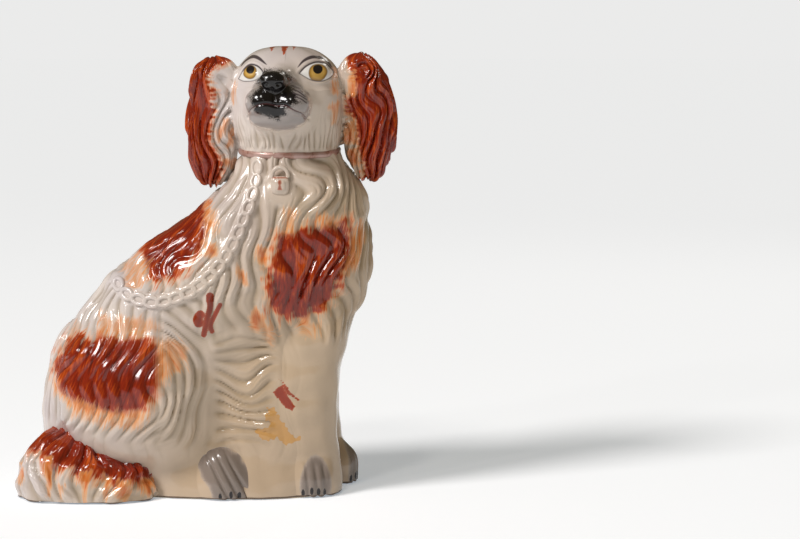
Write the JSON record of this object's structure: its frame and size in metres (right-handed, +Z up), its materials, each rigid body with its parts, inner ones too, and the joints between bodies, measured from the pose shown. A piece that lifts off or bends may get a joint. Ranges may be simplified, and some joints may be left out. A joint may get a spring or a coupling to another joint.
{
  "type": "ceramic dog figurine",
  "caption": "Sitting spaniel mantel figure in glazed earthenware, cream with iron-red patches, head turned to the viewer, with collar, padlock and chain in relief.",
  "frame": {"origin": "on the surface the figure stands on, under the middle of its bounding box", "axes": "+Z up; +X towards the dog's chest and -X towards its tail; -Y is the decorated front, which the head looks towards; the body halves meet on an upright plane across Y"},
  "size_m": [0.2719, 0.1228, 0.322],
  "materials": {
    "cream_glaze": "gloss",
    "iron_red": "gloss",
    "grey_enamel": "satin",
    "gilt": "satin",
    "biscuit": "matt"
  },
  "bodies": {
    "root": {"base_slab": "biscuit", "body_front_half": "cream_glaze", "body_back_half": "cream_glaze", "head_front_half": "cream_glaze", "head_back_half": "cream_glaze", "base_joint_roll": "biscuit", "neck_joint_ring": "biscuit", "body_seam_strip": "biscuit", "head_seam_strip": "biscuit", "right_foreleg": "cream_glaze", "left_foreleg": "cream_glaze", "right_hind_paw": "grey_enamel", "left_hind_paw": "grey_enamel", "tail": "iron_red", "right_ear": "iron_red", "left_ear": "iron_red", "collar_band": "gilt", "padlock_case": "cream_glaze", "padlock_shackle": "cream_glaze", "chain_links": "cream_glaze"}
  },
  "joints": []
}
